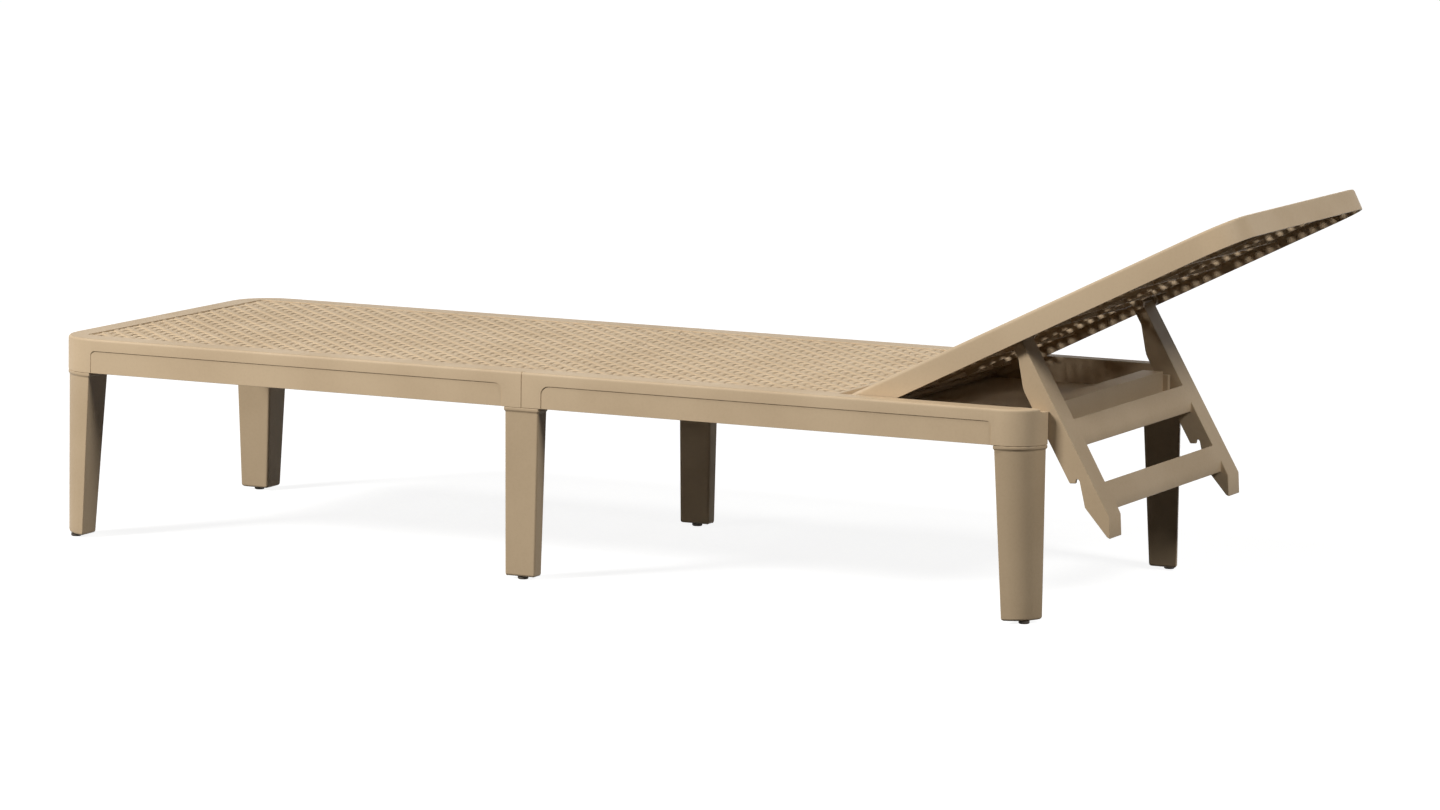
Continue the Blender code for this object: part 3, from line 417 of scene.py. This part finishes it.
def field_cutter(name, field, corner_ends):
    """The block that takes the plate out of a moulding, with rounded corners at some ends."""
    (low_x, low_y), (high_x, high_y) = field
    deselect()
    bpy.ops.mesh.primitive_cube_add(size=1)
    cutter = bpy.context.object
    cutter.name = name
    cutter.scale = (high_x - low_x, high_y - low_y, 2 * PLATE_CUT)
    cutter.location = ((low_x + high_x) / 2, (low_y + high_y) / 2, 0)
    bpy.ops.object.transform_apply()
    bpy.ops.object.mode_set(mode="EDIT")
    select(
        "EDGE",
        lambda edge: abs(edge.verts[0].co.z - edge.verts[1].co.z) > PLATE
        and any(abs(edge.verts[0].co.x - x) < FIELD_CORNER for x in corner_ends),
    )
    bpy.ops.mesh.bevel(offset=FIELD_CORNER, segments=CORNER_SEGMENTS, affect="EDGES")
    bpy.ops.object.mode_set(mode="OBJECT")
    return cutter


def clean_copy(node, name):
    """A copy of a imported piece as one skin, its split corners joined and its flats whole."""
    piece = copied(frame["nodes"][node], name)
    pick(piece)
    bpy.ops.mesh.customdata_custom_splitnormals_clear()
    bpy.ops.object.mode_set(mode="EDIT")
    bpy.ops.mesh.select_all(action="SELECT")
    bpy.ops.mesh.remove_doubles(threshold=JOIN)
    bpy.ops.mesh.normals_make_consistent(inside=False)
    bpy.ops.mesh.dissolve_limited(angle_limit=FLAT)
    bpy.ops.object.mode_set(mode="OBJECT")
    return piece


def softened(piece, radius):
    """Rounds the sharp edges a little, as moulded and worn edges are."""
    pick(piece)
    bpy.ops.object.shade_smooth_by_angle(angle=SHARP)
    edges = piece.modifiers.new("edges", "BEVEL")
    edges.width = radius
    edges.segments = EDGE_SEGMENTS
    edges.limit_method = "ANGLE"
    edges.angle_limit = SHARP
    edges.use_clamp_overlap = False
    edges.harden_normals = True
    bpy.ops.object.modifier_apply(modifier=edges.name)
    flats = piece.modifiers.new("flats", "WEIGHTED_NORMAL")
    flats.keep_sharp = True
    bpy.ops.object.modifier_apply(modifier=flats.name)
    return piece


def rounded_foot(leg):
    """Rounds the rim that the leg stands on, but for the rim of the glide's bore."""

    def is_rim(edge):
        level = all(abs(vert.co.z - RIM_HEIGHT) < JOIN for vert in edge.verts)
        reach = max(vert.co.z for face in edge.link_faces for vert in face.verts)
        return level and reach > LEG_SIDE_REACH

    pick(leg)
    bpy.ops.object.mode_set(mode="EDIT")
    select("EDGE", is_rim)
    bpy.ops.mesh.bevel(offset=LEG_FOOT_EDGE, segments=FOOT_SEGMENTS, affect="EDGES")
    bpy.ops.object.mode_set(mode="OBJECT")
    return leg


def ease_recess(moulding):
    """Lets out the sides of the recess that the lowered backrest sinks into, so that it's free."""
    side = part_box("backrest")[1].y
    pick(moulding)
    bpy.ops.object.mode_set(mode="EDIT")
    select(
        "FACE",
        lambda face: abs(face.normal.y) > FACING
        and all(abs(abs(vert.co.y) - side) < FLUSH for vert in face.verts),
    )
    bpy.ops.transform.resize(value=(1, 1 + RECESS_EASE / side, 1), center_override=(0, 0, 0))
    bpy.ops.object.mode_set(mode="OBJECT")


def opened_moulding(node, name, cutter):
    """A clean copy of a moulding with its plate cut away where the weave goes."""
    moulding = clean_copy(node, name)
    if node == "head_frame":
        ease_recess(moulding)
    cut = moulding.modifiers.new("field", "BOOLEAN")
    cut.operation = "DIFFERENCE"
    cut.solver = "EXACT"
    cut.object = cutter
    bpy.ops.object.modifier_apply(modifier=cut.name)
    bpy.data.objects.remove(cutter)
    return softened(moulding, MOULDED_EDGE)


def coated(obj, material):
    obj.data.materials.clear()
    obj.data.materials.append(material)


def dressed(obj, material, body):
    coated(obj, material)
    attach(obj, body)


# Woven panels


def reaching(field, amount, seam_amount):
    """A field let out at its edges, with its own amount at an end that lies on the joint."""
    (low_x, low_y), (high_x, high_y) = field
    start = low_x - (seam_amount if abs(low_x) <= SEAM else amount)
    end = high_x + (seam_amount if abs(high_x) <= SEAM else amount)
    return (start, low_y - amount), (end, high_y + amount)


def woven_panel(wave, node, name, field, corner_ends, place, lean, top, material, body, slot):
    """Replaces a moulding by its copy with the plate open, and the weave in the opening."""
    upward = Matrix.Rotation(-lean, 3, "Y") @ Vector((0, 0, 1))
    cutter = field_cutter(f"{name}_field", reaching(field, 0, OVERRUN), corner_ends)
    put(cutter, place + upward * top, lean)
    moulding = opened_moulding(node, f"{name}_moulding", cutter)
    panel = weave(wave, f"{name}_weave", reaching(field, STRAND_SEAT, 0))
    wave_middle = top - WEAVE_BELOW_TOP - WAVE_HEIGHT - STRAND_THICKNESS / 2
    put(panel, place + upward * wave_middle, lean)
    dressed(moulding, material, body)
    dressed(panel, material, body)
    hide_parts(node)


def deck_panels(wave, resin):
    half = DECK_HALF_ROWS * PITCH + LAST_HOLE
    foot_end = -FOOT_ROWS * PITCH - LAST_HOLE
    head_end = HEAD_ROWS * PITCH + LAST_HOLE
    foot_field = ((foot_end, -half), (-SEAM, half))
    head_field = ((SEAM, -half), (head_end, half))
    common = {
        "place": Vector((JOINT, 0, 0)),
        "lean": 0.0,
        "top": DECK_TOP,
        "material": resin,
        "body": "frame",
        "slot": "deck_resin",
    }
    woven_panel(wave, "foot_frame", "foot_deck", foot_field, [foot_end], **common)
    woven_panel(wave, "head_frame", "head_deck", head_field, [], **common)


def back_panel(wave, resin):
    half = BACK_HALF_ROWS * PITCH + LAST_HOLE
    start = BACK_WEAVE_START - BACK_LAST_STRAND
    end = BACK_WEAVE_END - BACK_LAST_STRAND
    last_strand = Matrix.Rotation(-BACK_ANGLE, 3, "Y") @ Vector((BACK_LAST_STRAND, 0, 0))
    woven_panel(
        wave,
        "backrest",
        "back_panel",
        ((start, -half), (end, half)),
        [start, end],
        place=HINGE + last_strand,
        lean=BACK_ANGLE,
        top=BACK_TOP,
        material=resin,
        body="backrest",
        slot="back_resin",
    )


# Legs and prop


def legs_and_prop(resin):
    legs = [node for node in frame["nodes"] if node.startswith("leg_")]
    for node in legs:
        leg = softened(rounded_foot(clean_copy(node, f"{node}_moulding")), LEG_EDGE)
        dressed(leg, resin, "frame")
        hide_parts(node)
    ladder = softened(clean_copy("prop_ladder", "prop_ladder_moulding"), PROP_EDGE)
    dressed(ladder, resin, "prop")
    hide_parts("prop_ladder")


def coat_packed_pieces(deck_resin, leg_resin):
    pin_resin = moulded_resin(
        "pin_resin_grained", light=(0.40, 0.30, 0.19), dark=(0.34, 0.25, 0.155), rough=0.42
    )
    rubber = glide_rubber()
    steel = plated_steel()
    materials = {
        "leg_": leg_resin,
        "prop_ladder": leg_resin,
        "glide_": rubber,
        "joint_": steel,
        "catch_bar_": steel,
        "hinge_pin_": pin_resin,
        "prop_pin_": pin_resin,
    }
    for node, obj in frame["nodes"].items():
        fitting = [materials[start] for start in materials if node.startswith(start)]
        coated(obj, fitting[0] if fitting else deck_resin)


# Studio


def studio_floor():
    """Paper floor, white to the camera but for the soft shadow, and dull to the light it returns."""
    deselect()
    bpy.ops.mesh.primitive_plane_add(size=FLOOR_SIZE, location=(0, 0, 0))
    floor = bpy.context.object
    floor.name = "studio_floor"
    finish = Finish("studio_floor_paper")
    away = finish.node("ShaderNodeVectorMath", {0: finish.place()}, 1, operation="LENGTH")
    glow = finish.between(finish.eased(away, FLOOR_NEAR, FLOOR_FAR), FLOOR_GLOW, WHITE)
    white = finish.node("ShaderNodeEmission", {"Color": glow})
    paper = finish.node("ShaderNodeBsdfDiffuse", {"Color": (*FLOOR_PAPER, 1)})
    shown = finish.node("ShaderNodeAddShader", {0: paper, 1: white})
    dull = finish.node("ShaderNodeBsdfDiffuse", {"Color": (*FLOOR_BOUNCE, 1)})
    mixed = finish.node("ShaderNodeMixShader", {0: finish.seen(), 1: dull, 2: shown})
    finish.feed(finish.tree.nodes["Material Output"].inputs["Surface"], mixed)
    finish.tree.nodes.remove(finish.shader)
    coated(floor, finish.material)


def studio_world():
    """White to the camera, and a faint warm glow that fills the shadows."""
    world = bpy.data.worlds.new("studio_world")
    bpy.context.scene.world = world
    world.use_nodes = True
    room = Nodes(world.node_tree)
    room.tree.nodes.remove(room.tree.nodes["Background"])
    glow = room.node(
        "ShaderNodeBackground", {"Color": (*ROOM_COLOUR, 1), "Strength": ROOM_STRENGTH}
    )
    white = room.node("ShaderNodeBackground", {"Color": (*WHITE, 1), "Strength": 1.0})
    mixed = room.node("ShaderNodeMixShader", {0: room.seen(), 1: glow, 2: white})
    room.feed(room.tree.nodes["World Output"].inputs["Surface"], mixed)


def softbox(name, place, target, size, power, colour):
    data = bpy.data.lights.new(name, "AREA")
    data.shape = "SQUARE"
    data.size = size
    data.energy = power
    data.color = colour
    lamp = bpy.data.objects.new(name, data)
    bpy.context.scene.collection.objects.link(lamp)
    lamp.location = place
    lamp.rotation_euler = (Vector(target) - Vector(place)).to_track_quat("-Z", "Y").to_euler()


def photo_camera():
    """The camera at the photograph's angle."""
    yaw, pitch, roll = (math.radians(angle) for angle in CAMERA_YAW_PITCH_ROLL)
    forward = Vector(
        (-math.sin(yaw) * math.cos(pitch), math.cos(yaw) * math.cos(pitch), -math.sin(pitch))
    )
    level = Vector((math.cos(yaw), math.sin(yaw), 0))
    upright = level.cross(forward)
    right = level * math.cos(roll) + upright * math.sin(roll)
    up = upright * math.cos(roll) - level * math.sin(roll)
    data = bpy.data.cameras.new("photo_camera")
    data.sensor_width = SENSOR_WIDTH
    data.lens = LENS
    data.clip_end = CAMERA_REACH
    camera = bpy.data.objects.new("photo_camera", data)
    bpy.context.scene.collection.objects.link(camera)
    turn = Matrix((right, up, -forward)).transposed().to_4x4()
    camera.matrix_world = Matrix.Translation(CAMERA_PLACE) @ turn
    bpy.context.scene.camera = camera


deck_resin = moulded_resin(
    "deck_resin_grained", light=(0.62, 0.478, 0.317), dark=(0.56, 0.425, 0.277), rough=0.46
)
leg_resin = moulded_resin(
    "leg_resin_grained", light=(0.53, 0.405, 0.265), dark=(0.475, 0.358, 0.230), rough=0.46
)
strand = strand_wave()
deck_panels(strand, deck_resin)
back_panel(strand, deck_resin)
bpy.data.objects.remove(strand)
legs_and_prop(leg_resin)
coat_packed_pieces(deck_resin, leg_resin)
studio_floor()
studio_world()
softbox("key_light", **KEY_LIGHT)
softbox("head_light", **HEAD_LIGHT)
photo_camera()
bpy.context.scene.view_settings.view_transform = "Standard"
